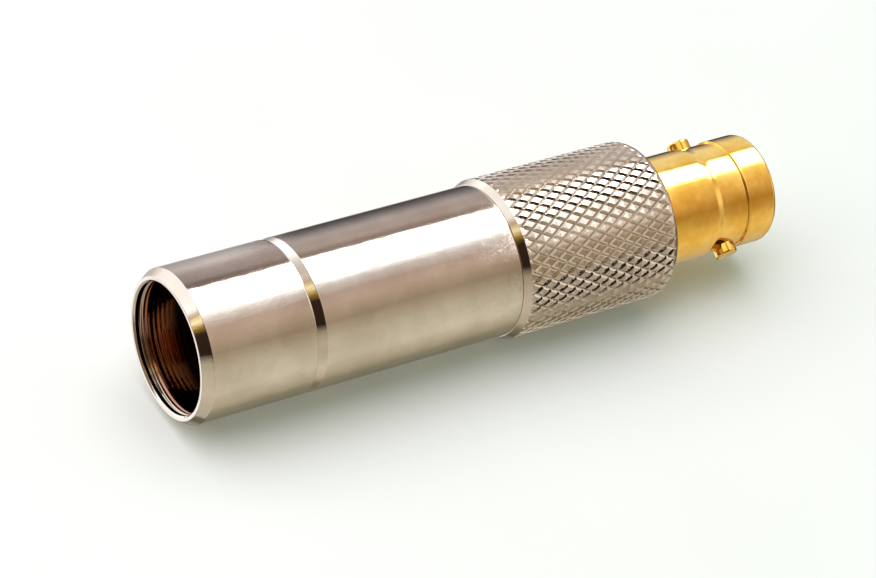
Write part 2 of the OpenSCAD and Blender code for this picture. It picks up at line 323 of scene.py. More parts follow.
class Surface:
    """A material in the making, with the nodes that every finish shares."""

    def __init__(self, name: str, metallic: float = 1.0) -> None:
        """Makes the material, with its shader and its object coordinates.

        Args:
            name: The material's name.
            metallic: One for a metal, zero for a plastic.
        """
        self.material = bpy.data.materials.new(name)
        self.material.use_nodes = True
        self.tree = self.material.node_tree
        self.shader = self.tree.nodes["Principled BSDF"]
        self.shader.inputs["Metallic"].default_value = metallic
        self.where = add_node(self.tree, "ShaderNodeTexCoord").outputs["Object"]

    def marks(self, scale: tuple[float, float, float], detail: float) -> bpy.types.Node:
        """Returns tool marks: noise that is drawn out by a scale of its own along each axis."""
        drawn = add_node(self.tree, "ShaderNodeMapping", None, {"Vector": self.where, "Scale": scale})
        return add_node(self.tree, "ShaderNodeTexNoise", None,
                        {"Vector": drawn, "Scale": 1.0, "Detail": detail, "Roughness": 0.6})

    def stained(self, tones: tuple[str, str], spread: float, noise: Mapping[str, float]
                ) -> tuple[bpy.types.Node, bpy.types.Node]:
        """Makes a colour that is clouded between two tones.

        Args:
            tones: The dull and the bright tone.
            spread: How far from the cloud's middle each tone lies.
            noise: The cloud's settings.

        Returns:
            The cloud and the colour.
        """
        cloud = add_node(self.tree, "ShaderNodeTexNoise", None, {"Vector": self.where, **noise})
        stops = [(0.5 - spread, linear(tones[0])), (0.5 + spread, linear(tones[1]))]
        return cloud, add_node(self.tree, "ShaderNodeValToRGB", {"stops": stops}, {"Fac": cloud})

    def close(self, colour: bpy.types.NodeSocket, grain: bpy.types.Node, rough: tuple[float, float],
              relief: bpy.types.Node) -> bpy.types.Material:
        """Feeds the shader.

        Args:
            colour: The base colour.
            grain: The noise that the gloss follows.
            rough: The least and the most roughness.
            relief: The bump.

        Returns:
            The finished material.
        """
        gloss = add_node(self.tree, "ShaderNodeMapRange", None,
                         {"Value": grain, "From Min": 0.3, "From Max": 0.7, "To Min": rough[0], "To Max": rough[1]})
        self.tree.links.new(colour, self.shader.inputs["Base Color"])
        self.tree.links.new(gloss.outputs["Result"], self.shader.inputs["Roughness"])
        self.tree.links.new(relief.outputs["Normal"], self.shader.inputs["Normal"])
        return self.material


@dataclass(frozen=True)
class NickelPlate:
    """Bright nickel plate on turned brass: a warm grey mirror, softened by faint turning rings under the plate."""

    name: str = "bright_nickel_plate_on_turned_brass"
    bright: str = "dcd4cb"
    dull: str = "cfc5ba"
    rough: tuple[float, float] = (0.045, 0.065)
    ring_mm: float = 0.14
    ripple_mm: float = 0.36
    ripple_draw: float = 3.6
    relief_mm: float = 0.011
    # Tints laid where the groove attribute is high: painted shade, with tarnish in a knurl's grooves and thinner plate
    # in a bore
    groove: str | None = None
    deep: str | None = None

    def make(self) -> bpy.types.Material:
        """Returns the plate, darkened where the piece has a groove attribute, which is painted shade."""
        plate = Surface(self.name)
        tree = plate.tree
        # Rings run round the axis: long in the turn, and as wide as the tool's feed along the axis
        rings = plate.marks((RING_DRAW, RING_DRAW, 1 / (self.ring_mm * MM)), 2.0)
        # Polishing leaves a ripple that is drawn out along the axis, which frays the edges of what is mirrored
        fine = 1 / (self.ripple_mm * MM)
        ripple = plate.marks((fine, fine, fine / self.ripple_draw), 3.0)
        tone = plate.stained((self.dull, self.bright), 0.12, {"Scale": 220.0, "Detail": 4.0, "Roughness": 0.6})[1]
        low = add_node(tree, "ShaderNodeBump", None,
                       {"Height": rings, "Strength": 0.015, "Distance": self.relief_mm * MM})
        high = add_node(tree, "ShaderNodeBump", None,
                        {"Height": ripple, "Strength": 0.75, "Distance": self.relief_mm * MM, "Normal": low})
        colour = tone.outputs["Color"]
        # Painted shade: the colour turns towards these tints as the groove attribute rises, for shade in a knurl's
        # grooves, where tarnish also lies, and in a bore, where the plate is also thinner
        for shade, first, full in ((self.groove, 0.4, 1.0), (self.deep, 1.9, 3.2)):
            if shade:
                depth = add_node(tree, "ShaderNodeAttribute", {"attribute_name": "groove"}).outputs["Fac"]
                dusk = add_node(tree, "ShaderNodeMapRange", None,
                                {"Value": depth, "From Min": first, "From Max": full})
                colour = add_node(tree, "ShaderNodeMix", {"data_type": "RGBA"},
                                  {"Factor": dusk, "A": colour, "B": linear(shade)}).outputs["Result"]
        return plate.close(colour, ripple, self.rough, high)


@dataclass(frozen=True)
class GoldPlate:
    """Gold plate on turned brass: a deep yellow mirror that goes amber where it meets shade."""

    name: str = "gold_plate_on_turned_brass"
    bright: str = "f7cf72"
    dull: str = "eab950"
    rough: tuple[float, float] = (0.06, 0.12)
    ring_mm: float = 0.16
    relief_mm: float = 0.002

    def make(self) -> bpy.types.Material:
        """Returns the plate."""
        plate = Surface(self.name)
        rings = plate.marks((RING_DRAW, RING_DRAW, 1 / (self.ring_mm * MM)), 2.0)
        cloud, tone = plate.stained((self.dull, self.bright), 0.14, {"Scale": 500.0, "Detail": 4.0, "Roughness": 0.6})
        relief = add_node(plate.tree, "ShaderNodeBump", None,
                          {"Height": rings, "Strength": 0.3, "Distance": self.relief_mm * MM})
        return plate.close(tone.outputs["Color"], cloud, self.rough, relief)


@dataclass(frozen=True)
class PlainStock:
    """A machined, dipped or drawn stock with a clouded colour and tool marks."""

    name: str
    light: str
    dark: str
    metallic: float
    rough: tuple[float, float]
    grain_mm: float
    relief_mm: float
    rings: bool = True
    coat: float = 0.0

    def make(self) -> bpy.types.Material:
        """Returns the stock's material."""
        stock = Surface(self.name, self.metallic)
        stock.shader.inputs["Coat Weight"].default_value = self.coat
        fine = 1 / (self.grain_mm * MM)
        across = 0.1 * fine if self.rings else fine
        grain = stock.marks((across, across, fine), 3.0)
        tone = stock.stained((self.dark, self.light), 0.14, {"Scale": 600.0, "Detail": 3.0, "Roughness": 0.55})[1]
        relief = add_node(stock.tree, "ShaderNodeBump", None,
                          {"Height": grain, "Strength": 0.5, "Distance": self.relief_mm * MM})
        return stock.close(tone.outputs["Color"], grain, self.rough, relief)


# Skived white fluoropolymer: waxy, faintly warm, with soft tool rings
FLUOROPOLYMER = PlainStock("machined_white_fluoropolymer", "f3f1ea", "e9e6dc", 0.0, (0.38, 0.55), 0.2, 0.006)
# Zinc-plated spring steel: cool grey with a rolled grain
SPRING_STEEL = PlainStock("zinc_plated_spring_steel", "c9c9c6", "a9a9a8", 1.0, (0.22, 0.38), 0.12, 0.004, False)
# Bare turned brass: dull yellow with plain tool rings
BARE_BRASS = PlainStock("bare_turned_brass", "d8bd7c", "c2a45f", 1.0, (0.2, 0.34), 0.15, 0.006)
# Dipped lacquer: glossy blue-green with slow waves where it ran
DIPPED_LACQUER = PlainStock("dipped_capacitor_lacquer", "47899a", "35717f", 0.0, (0.2, 0.32), 1.2, 0.02, False, 0.6)
# Tinned wire and solder: soft pale metal with small dimples
TINNED_COPPER = PlainStock("tinned_copper_and_solder", "cfcfca", "b4b5b2", 1.0, (0.18, 0.34), 0.25, 0.008, False)


@dataclass
class MouthRing:
    """The ring round the mouth, with its fine female thread. Sizes are in millimetres."""

    foot_z: float = 47.6
    mouth_z: float = 58.05
    outer_r: float = 6.6
    socket_r: float = 5.85
    spigot_z: float = 52.55
    chamfer_l: float = 0.85
    chamfer_r: float = 0.55
    root_r: float = 5.81
    crest_r: float = 5.621
    edge: float = 0.15
    lead_in: float = 0.45
    pitch: float = 0.4233
    thread_gap: float = 0.1
    deep_turns: float = 3.0
    worn_share: float = 0.04
    # Depth below the mouth, in millimetres, that is one unit of the bore's painted shade
    darkening_depth: float = 1.25
    around: int = 256
    rows_a_turn: int = 12
    flank: Point = (0.06, 0.46)

    def thread_tree(self) -> SkinTree:
        """Returns the tree that winds the thread's grooves round a bore, deepest behind the lead-in."""
        skin = SkinTree("fine_thread", (
            "Foot", "Height", "Pitch", "Crest Radius", "Depth", "Run Out", "Deep Length", "Worn Share"))
        tree, size = skin.tree, skin.size
        grid, turn, height = skin.unroll()
        turns = add_node(tree, "ShaderNodeMath", "DIVIDE", {0: height, 1: size["Pitch"]})
        phase = add_node(tree, "ShaderNodeMath", "SUBTRACT", {0: turns, 1: turn})
        flank = add_node(tree, "ShaderNodeMath", "PINGPONG", {0: phase, 1: 0.5})
        groove = add_node(tree, "ShaderNodeMapRange", SMOOTH,
                          {"Value": flank, "From Min": self.flank[0], "From Max": self.flank[1]})
        rise = add_node(tree, "ShaderNodeMapRange", SMOOTH, {"Value": height, "From Max": size["Run Out"]})
        left = add_node(tree, "ShaderNodeMath", "SUBTRACT", {0: size["Height"], 1: height})
        fall = add_node(tree, "ShaderNodeMapRange", SMOOTH, {"Value": left, "From Max": size["Run Out"]})
        worn = add_node(tree, "ShaderNodeMapRange", SMOOTH,
                        {"Value": left, "From Max": size["Deep Length"], "To Min": 1.0, "To Max": size["Worn Share"]})
        ends = add_node(tree, "ShaderNodeMath", "MULTIPLY", {0: rise, 1: fall})
        share = add_node(tree, "ShaderNodeMath", "MULTIPLY", {0: ends, 1: worn})
        full = add_node(tree, "ShaderNodeMath", "MULTIPLY", {0: groove, 1: share})
        cut = add_node(tree, "ShaderNodeMath", "MULTIPLY", {0: full, 1: size["Depth"]})
        radius = add_node(tree, "ShaderNodeMath", "ADD", {0: size["Crest Radius"], 1: cut})
        skin.wrap(grid, turn, height, radius)
        return skin

    def build(self) -> bpy.types.Object:
        """Returns the ring: the threaded skin joined to the turned rest."""
        start = self.spigot_z + self.thread_gap
        end = self.mouth_z - self.lead_in
        rows = round((end - start) / self.pitch * self.rows_a_turn)
        thread = self.thread_tree().mesh({
            "Columns": self.around + 1, "Rows": rows + 1, "Foot": start * MM, "Height": (end - start) * MM,
            "Pitch": self.pitch * MM, "Crest Radius": self.crest_r * MM,
            "Depth": (self.root_r - self.crest_r) * MM, "Run Out": 0.5 * self.pitch * MM,
            "Deep Length": self.deep_turns * self.pitch * MM, "Worn Share": self.worn_share})
        shape = bmesh.new()
        shape.from_mesh(thread)
        bpy.data.meshes.remove(thread)
        spin(shape, rounded([
            Corner(self.crest_r, start),
            Corner(self.crest_r, self.spigot_z, 0.03),
            Corner(self.socket_r, self.spigot_z, 0.03),
            Corner(self.socket_r, self.foot_z, 0.05),
            Corner(self.outer_r, self.foot_z, 0.08),
            Corner(self.outer_r, self.mouth_z - self.chamfer_l, 0.2),
            Corner(self.outer_r - self.chamfer_r, self.mouth_z, 0.06),
            Corner(self.crest_r + self.edge, self.mouth_z, 0.03),
            Corner(self.crest_r, self.mouth_z - self.edge, 0.03),
            Corner(self.crest_r, end)], False), self.around, False)
        ring = piece_from(shape, "threaded_mouth_ring")
        # Depth below the mouth inside the bore, for the material: it paints shade there, brown where the plate is also
        # thinner, nearly black further in
        bore_darkening = ring.data.attributes.new("groove", "FLOAT", "POINT")
        for vertex, value in zip(ring.data.vertices, bore_darkening.data):
            depth = self.mouth_z - vertex.co.z / MM
            inside = vertex.co.xy.length < (self.root_r + BESIDE) * MM
            value.value = max(depth / self.darkening_depth, 0.0) if inside else 0.0
        return ring


@dataclass
class Barrel:
    """The plain tube between the mouth ring and the collar. Sizes are in millimetres."""

    tail_z: float = 20.8
    foot_z: float = 27.8
    head_z: float = 47.6
    spigot_z: float = 52.55
    seat_z: float = 49.55
    outer_r: float = 6.6
    tail_r: float = 5.95
    spigot_r: float = 5.8
    seat_r: float = 5.0
    bore_r: float = 4.4
    chamfer_l: float = 0.85
    chamfer_r: float = 0.25
    around: int = 256

    def build(self) -> bpy.types.Object:
        """Returns the turned tube with its tail, spigot and seat."""
        shape = bmesh.new()
        spin(shape, rounded([
            Corner(self.bore_r, self.tail_z, 0.05),
            Corner(self.tail_r, self.tail_z, 0.15),
            Corner(self.tail_r, self.foot_z, 0.05),
            Corner(self.outer_r, self.foot_z, 0.05),
            Corner(self.outer_r, self.head_z - self.chamfer_l, 0.25),
            Corner(self.outer_r - self.chamfer_r, self.head_z, 0.05),
            Corner(self.spigot_r, self.head_z, 0.05),
            Corner(self.spigot_r, self.spigot_z, 0.08),
            Corner(self.seat_r, self.spigot_z, 0.08),
            Corner(self.seat_r, self.seat_z, 0.05),
            Corner(self.bore_r, self.seat_z, 0.05)], True), self.around, True)
        return piece_from(shape, "plain_barrel")


@dataclass
class KnurledCollar:
    """The grip at the jack end, with its rolled diamond knurl. Sizes are in millimetres."""

    foot_z: float = 11.8
    length: float = 16.0
    crest_r: float = 7.0
    lip_r: float = 6.65
    chamfer_l: float = 0.65
    round_l: float = 1.2
    round_r: float = 0.76
    socket_r: float = 6.0
    hole_r: float = 4.9
    wall_l: float = 1.2
    crease: float = 25.0
    grooves: int = 44
    row_h: float = 0.8485
    depth: float = 0.14
    groove_share: float = 6 / 14
    crown_share: float = 0.025
    plain_l: float = 0.02
    run_out: float = 0.3
    steps_a_groove: int = 14

    def knurl_tree(self) -> SkinTree:
        """Returns the tree that cuts two families of helical grooves into a turned skin."""
        skin = SkinTree("diamond_knurl", (
            "Foot", "Height", "Crest Radius", "Depth", "Grooves", "Lead", "Groove Share", "Wall Share", "Crown Share",
            "First Row", "Plain Length", "Run Out", "Round Length", "Round Depth"))
        tree, size = skin.tree, skin.size
        grid, turn, height = skin.unroll()
        # Two counters, one for each hand of groove, that reach a whole number on every groove's bottom
        count = add_node(tree, "ShaderNodeMath", "MULTIPLY", {0: turn, 1: size["Grooves"]})
        raised = add_node(tree, "ShaderNodeMath", "SUBTRACT", {0: height, 1: size["First Row"]})
        climb = add_node(tree, "ShaderNodeMath", "DIVIDE", {0: raised, 1: size["Lead"]})
        brim = add_node(tree, "ShaderNodeMath", "MULTIPLY", {0: size["Groove Share"], 1: 0.5})
        cuts = []
        for hand in ("SUBTRACT", "ADD"):
            counter = add_node(tree, "ShaderNodeMath", hand, {0: count, 1: climb})
            flank = add_node(tree, "ShaderNodeMath", "PINGPONG", {0: counter, 1: 0.5})
            wall = add_node(tree, "ShaderNodeMapRange", None,
                            {"Value": flank, "From Max": brim, "To Min": size["Wall Share"], "To Max": 0.0})
            crown = add_node(tree, "ShaderNodeMapRange", SMOOTH,
                             {"Value": flank, "From Min": brim, "From Max": 0.5,
                              "To Min": size["Crown Share"], "To Max": 0.0})
            cuts.append(add_node(tree, "ShaderNodeMath", "ADD", {0: wall, 1: crown}))
        sunk = add_node(tree, "ShaderNodeMath", "MAXIMUM", dict(enumerate(cuts)))
        left_over = add_node(tree, "ShaderNodeMath", "SUBTRACT", {0: size["Height"], 1: height})
        fade = add_node(tree, "ShaderNodeMapRange", SMOOTH,
                        {"Value": left_over, "From Min": size["Plain Length"], "From Max": size["Run Out"]})
        groove = add_node(tree, "ShaderNodeMath", "MULTIPLY", {0: sunk, 1: fade})
        cut = add_node(tree, "ShaderNodeMath", "MULTIPLY", {0: groove, 1: size["Depth"]})
        rolled = add_node(tree, "ShaderNodeMath", "SUBTRACT", {0: size["Crest Radius"], 1: cut})
        # The jack end is turned round after the knurl is rolled
        lean = add_node(tree, "ShaderNodeMapRange", None,
                        {"Value": height, "From Max": size["Round Length"], "To Min": 1.0, "To Max": 0.0})
        square = add_node(tree, "ShaderNodeMath", "POWER", {0: lean, 1: 2.0})
        rest = add_node(tree, "ShaderNodeMath", "SUBTRACT", {0: 1.0, 1: square})
        bow = add_node(tree, "ShaderNodeMath", "SQRT", {0: rest})
        drop = add_node(tree, "ShaderNodeMath", "SUBTRACT", {0: 1.0, 1: bow})
        fall = add_node(tree, "ShaderNodeMath", "MULTIPLY", {0: drop, 1: size["Round Depth"]})
        turned = add_node(tree, "ShaderNodeMath", "SUBTRACT", {0: size["Crest Radius"], 1: fall})
        radius = add_node(tree, "ShaderNodeMath", "MINIMUM", {0: rolled, 1: turned})
        # The groove's depth is stored for the material, which paints shade and tarnish into the grooves
        marked = add_node(tree, "GeometryNodeStoreNamedAttribute", {"data_type": "FLOAT", "domain": "POINT"},
                          {"Geometry": grid, "Name": "groove", "Value": groove})
        skin.wrap(marked, turn, height, radius)
        return skin

    def build(self) -> bpy.types.Object:
        """Returns the collar: the knurled skin joined to the turned rest."""
        around = self.grooves * self.steps_a_groove
        skin_l = self.length - self.chamfer_l
        # The grid's rows follow the diamonds, so that every groove's bottom lies on a row of points
        rows = round(skin_l / (2 * self.row_h) * self.steps_a_groove)
        row = skin_l / rows
        knurl = self.knurl_tree().mesh({
            "Columns": around + 1, "Rows": rows + 1, "Foot": self.foot_z * MM,
            "Height": skin_l * MM, "Crest Radius": self.crest_r * MM, "Depth": self.depth * MM,
            "Grooves": float(self.grooves), "Lead": self.steps_a_groove * row * MM, "Groove Share": self.groove_share,
            "Wall Share": 1 - self.crown_share, "Crown Share": self.crown_share, "Plain Length": self.plain_l * MM,
            "First Row": row * round((skin_l - self.run_out) / row) * MM, "Run Out": self.run_out * MM,
            "Round Length": self.round_l * MM, "Round Depth": self.round_r * MM})
        shape = bmesh.new()
        shape.from_mesh(knurl)
        bpy.data.meshes.remove(knurl)
        # A skew face is split between its two corners of like radius, so that the split follows a groove's edge
        for face in list(shape.faces):
            a, b, c, d = face.verts
            radii = [vertex.co.xy.length for vertex in (a, b, c, d)]
            if max(radii) - min(radii) > 2 * WELD:
                alike = abs(radii[0] - radii[2]) < abs(radii[1] - radii[3])
                bmesh.utils.face_split(face, *((a, c) if alike else (b, d)))
        top = self.foot_z + self.length
        spin(shape, rounded([
            Corner(self.crest_r, top - self.chamfer_l),
            Corner(self.lip_r, top, 0.06),
            Corner(self.socket_r, top, 0.05),
            Corner(self.socket_r, self.foot_z + self.wall_l, 0.05),
            Corner(self.hole_r, self.foot_z + self.wall_l, 0.05),
            Corner(self.hole_r, self.foot_z, 0.05),
            Corner(self.crest_r - self.round_r, self.foot_z)], False), around, False)
        return piece_from(shape, "diamond_knurled_collar", self.crease)


@dataclass
class BayonetJack:
    """The coaxial jack with its two lugs. Sizes are in millimetres."""

    outer_r: float = 4.85
    edge_r: float = 0.35
    band_l: float = 3.0
    neck_r: float = 4.69
    neck_l: float = 2.3
    blend_l: float = 1.2
    bore_r: float = 4.065
    bore_z: float = 8.6
    seat_r: float = 2.4
    seat_z: float = 9.6
    shank_r: float = 3.65
    flange_z: float = 13.0
    lug_r: float = 1.0
    lug_z: float = 4.6
    lug_root: float = 4.3
    lug_tip: float = 5.53
    around: int = 192
    around_lug: int = 48
    blend_steps: int = 14

    def shell_outline(self) -> list[Point]:
        """Returns the shell's outline, from the front edge back and through the bore."""
        neck_end = self.band_l + self.neck_l
        blend = []
        for i in range(1, self.blend_steps):
            t = i / self.blend_steps
            blend.append(Corner(self.neck_r + (self.outer_r - self.neck_r) * t * t * (3 - 2 * t),
                                neck_end + self.blend_l * t))
        return rounded([
            Corner(self.bore_r, 0.0, 0.06),
            Corner(self.outer_r, 0.0, self.edge_r),
            Corner(self.outer_r, self.band_l, 0.1),
            Corner(self.neck_r, self.band_l, 0.06),
            Corner(self.neck_r, neck_end),
            *blend,
            Corner(self.outer_r, neck_end + self.blend_l),
            Corner(self.outer_r, self.flange_z, 0.05),
            Corner(self.shank_r, self.flange_z, 0.05),
            Corner(self.shank_r, self.seat_z, 0.05),
            Corner(self.seat_r, self.seat_z, 0.05),
            Corner(self.seat_r, self.bore_z, 0.05),
            Corner(self.bore_r, self.bore_z, 0.1)], True)

    def add_lug(self, shape: bmesh.types.BMesh, side: int) -> None:
        """Adds one lug, from inside the wall out to its softened tip.

        Args:
            shape: The mesh that takes the lug.
            side: 1 for +X, -1 for -X.
        """
        outline = rounded([
            Corner(0.0, self.lug_root), Corner(self.lug_r, self.lug_root), Corner(self.lug_r, self.lug_tip, 0.16),
            Corner(0.0, self.lug_tip)], False, 0.06)
        angles = [math.tau * i / self.around_lug for i in range(self.around_lug)]
        bridge(shape, [[shape.verts.new((side * out * MM, r * MM * math.cos(a), self.lug_z * MM + r * MM * math.sin(a)))
                        for a in angles] for r, out in outline])

    def build(self) -> bpy.types.Object:
        """Returns the shell with its lugs."""
        shape = bmesh.new()
        spin(shape, self.shell_outline(), self.around, True)
        self.add_lug(shape, 1)
        self.add_lug(shape, -1)
        return piece_from(shape, "bayonet_jack_shell")


@dataclass
class InnerWorks:
    """The CAD nodes that keep their shape and get a finish."""

    def dress(self, finishes: Mapping[Slot, bpy.types.Material]) -> None:
        """Gives each shown CAD node the finish of its slot.

        Args:
            finishes: The material of each slot.
        """
        for entry in frame["record"]["subparts"]:
            node = frame["nodes"].get(entry["node"])
            if node is None or node.hide_render:
                continue
            for holder in node.material_slots:
                holder.material = finishes[Slot(entry["material_slot"])]
            LOG.info("%s: dressed as %s", entry["node"], entry["material_slot"])


@dataclass(frozen=True)
class Zone:
    """One zone of the studio: its angle round the tube's axis in degrees, its colour and brightness."""

    angle: float
    colour: str
    gain: float = 1.0


@dataclass(frozen=True)
class Card:
    """A card in the studio: its colour and brightness, its cover at angles round the tube's axis in degrees, and
    the leans of a mirrored ray at which it begins and at which it is there in full."""

    colour: str
    gain: float
    cover: tuple[tuple[float, float], ...]
    first: float
    full: float


@dataclass
class Studio:
    """A pale floor, soft light from the camera's side and the zones that the plate mirrors.

    The floor's gap to the axis is in millimetres, other lengths are in metres and turns in degrees. Leans are the
    share of a mirrored ray's direction that runs along the axis: ahead is what rays see that lean most to the mouth.
    """

    over: Vector = Vector((-0.96593, 0.25882, 0.0))
    front: Vector = Vector((0.25882, 0.96593, 0.0))
    level: float = 16.0
    floor_turn: float = 45.0
    floor_gap: float = 7.03
    floor_half: float = 1.5
    ahead: str = "9c7c5c"
    glow: str = "d8f5e6"
    glow_strength: float = 0.58
    backdrop: str = "f3f5f2"
    key_turn: float = 32.0
    key_lean: float = 0.42
    key_reach: float = 0.5
    key_size: Point = (0.75, 1.3)
    key_energy: float = 3.9
    key_tint: tuple[float, float, float] = (1.0, 0.85, 0.91)

    def across(self, turn: float) -> Vector:
        """Returns the direction across the tube's axis at an angle in degrees, from over it towards its front."""
        return math.cos(math.radians(turn)) * self.over + math.sin(math.radians(turn)) * self.front

    def zones(self) -> list[Zone]:
        """Returns what the tube's sides mirror, from below round the back, over the top and to the front."""
        return [
            Zone(-180, "e8e2ce"), Zone(-156, "c8c0a6"), Zone(-138, "9c967e"), Zone(-112, "7c7c6c"),
            Zone(-94, "8a8a80"), Zone(-82, "c6c4c4"), Zone(-66, "b0acac"), Zone(-34, "eae2e2"), Zone(-18, "c2b8b8"),
            Zone(-2, "b4a8a6"), Zone(8, "8c7c76"), Zone(13, "b4a49c"), Zone(18, "ffffff", 5.0),
            Zone(50, "ffffff", 5.0), Zone(58, "ffffff", 1.7), Zone(66, "fff8f4", 1.1), Zone(78, "dec6b8"),
            Zone(94, "d4bda9"), Zone(116, "b2a088"), Zone(142, "d6ceb6"), Zone(172, "eae4d0"), Zone(180, "e8e2ce")]

    def jack_zones(self) -> list[Zone]:
        """Returns what the jack's sides mirror: the paper is nearer and brighter there."""
        return [
            Zone(-180, "f8ecd4"), Zone(-140, "dcd4c0"), Zone(-106, "b8b0a0"), Zone(-84, "342c26"),
            Zone(-66, "5c544e"), Zone(-50, "c4c0c2"), Zone(-34, "f4f8ff", 1.1), Zone(-4, "f4f4ff", 1.1),
            Zone(8, "e0dcd8"), Zone(14, "ffffff", 16.0), Zone(38, "ffffff", 16.0), Zone(50, "ffffff", 1.4),
            Zone(64, "fff0dc", 1.05), Zone(92, "f4e0c8", 1.05), Zone(118, "c4ac84"), Zone(140, "e4dac4"),
            Zone(180, "f8ecd4")]

    def mouth_zones(self) -> list[Zone]:
        """Returns what the faces turned to the mouth mirror."""
        return [
            Zone(-180, "e8dfca"), Zone(-160, "d4cab6"), Zone(-120, "c0baac"), Zone(-92, "ffffff", 1.3),
            Zone(-20, "ffffff", 1.6), Zone(42, "ffffff", 1.6), Zone(52, "e0c8a0"), Zone(62, "fff2c0", 1.6),
            Zone(72, "b89040"), Zone(81, "3a2c22"), Zone(116, "33251d"), Zone(130, "c4b8a2"), Zone(160, "e2d8c4"),
            Zone(180, "e8dfca")]

    def wall_zones(self) -> list[Zone]:
        """Returns what the knurl's walls on the mouth's side and the chamfers' lower ends mirror."""
        return [
            Zone(-180, "ece2ce"), Zone(-162, "dacfba"), Zone(-146, "928a76"), Zone(-125, "6a6858"),
            Zone(-96, "cac4b8"), Zone(-60, "dcd6d0"), Zone(-24, "ffffff", 2.0), Zone(2, "ffffff", 1.8),
            Zone(16, "ffffff", 1.15), Zone(28, "f8eee6"), Zone(42, "f0e4da"), Zone(60, "dccab6"), Zone(72, "b09c88"),
            Zone(84, "2e241d"), Zone(117, "2a2019"), Zone(127, "b4a894"), Zone(142, "d0c4ae"), Zone(160, "d4cab6"),
            Zone(180, "ece2ce")]

    def far_zones(self) -> list[Zone]:
        """Returns what the knurl's walls on the jack's side mirror."""
        return [
            Zone(-180, "8c8270"), Zone(-110, "5c564c"), Zone(-74, "a0948c"), Zone(-40, "c8b6ac"), Zone(14, "dcccc0"),
            Zone(60, "ece0d6"), Zone(84, "fcf2ea", 1.25), Zone(112, "fcf0e4", 1.2), Zone(128, "e4d8c8"),
            Zone(150, "dcd0be"), Zone(170, "988c78"), Zone(180, "8c8270")]

    def stops(self, zones: Sequence[Zone]) -> list[tuple[float, Colour]]:
        """Returns a ramp's stops for the zones, scaled to the sky's level."""
        return [(zone.angle / 360 + 0.5, linear(zone.colour, zone.gain / self.level)) for zone in zones]

    def tube_cards(self) -> list[Card]:
        """Returns a dark and a beige card over the barrel, a dark one round the collar and a white one for its tops."""
        return [
            Card("50494a", 1.0, ((-84, 0.0), (-68, 1.0), (-50, 0.8), (-34, 0.55), (-20, 0.0), (54, 0.0), (64, 0.25),
                                 (78, 0.15), (90, 0.0)), -0.43, -0.447),
            Card("d8c6bc", 1.0, ((-28, 0.0), (-18, 0.3), (-2, 0.6), (10, 0.2), (16, 0.0)), -0.43, -0.447),
            Card("5c5046", 1.0, ((-124, 0.6), (-84, 0.1), (-66, 0.3), (-30, 0.2), (-8, 0.1), (2, 0.0), (96, 0.0),
                                 (124, 0.6)), -0.498, -0.507),
            Card("ffffff", 3.2, ((-20, 0.0), (-6, 0.15), (4, 0.45), (13, 0.9), (18, 0.0), (56, 0.0), (60, 0.9),
                                 (84, 0.8), (94, 0.3), (104, 0.0)), -0.5, -0.506)]

    def band_card(self) -> Card:
        """Returns the brown card that deepens the gold of the jack's front band."""
        return Card("a87838", 1.0, ((66, 0.0), (78, 0.2), (96, 0.4), (140, 0.45), (158, 0.0)), -0.5485, -0.552)

    def lay_over(self, tree: bpy.types.NodeTree, sky: bpy.types.NodeSocket, colour: Colour | bpy.types.NodeSocket,
                 lift: bpy.types.NodeSocket, first: float, full: float,
                 cover: bpy.types.NodeSocket | None = None) -> bpy.types.NodeSocket:
        """Lays a colour over the sky where a mirrored ray leans far enough along the axis.

        Args:
            tree: The world's tree.
            sky: The sky so far.
            colour: What is laid over it.
            lift: The ray's lean.
            first: The lean at which the colour begins.
            full: The lean at which it is there in full.
            cover: How much of it is there, if not all.

        Returns:
            The new sky.
        """
        factor = add_node(tree, "ShaderNodeMapRange", SMOOTH, {"Value": lift, "From Min": first, "From Max": full})
        if cover is not None:
            factor = add_node(tree, "ShaderNodeMath", "MULTIPLY", {0: cover, 1: factor})
        return add_node(tree, "ShaderNodeMix", {"data_type": "RGBA"},
                        {"Factor": factor, "A": sky, "B": colour}).outputs["Result"]

    def lay_card(self, tree: bpy.types.NodeTree, sky: bpy.types.NodeSocket, card: Card, share: bpy.types.Node,
                 lift: bpy.types.NodeSocket) -> bpy.types.NodeSocket:
        """Returns the sky with a card laid over it; share is the ray's turn round the axis and lift its lean."""
        stops = [(turn / 360 + 0.5, linear("ffffff", amount)) for turn, amount in card.cover]
        cover = add_node(tree, "ShaderNodeValToRGB", {"stops": stops}, {"Fac": share}).outputs["Color"]
        return self.lay_over(tree, sky, linear(card.colour, card.gain / self.level), lift, card.first, card.full, cover)

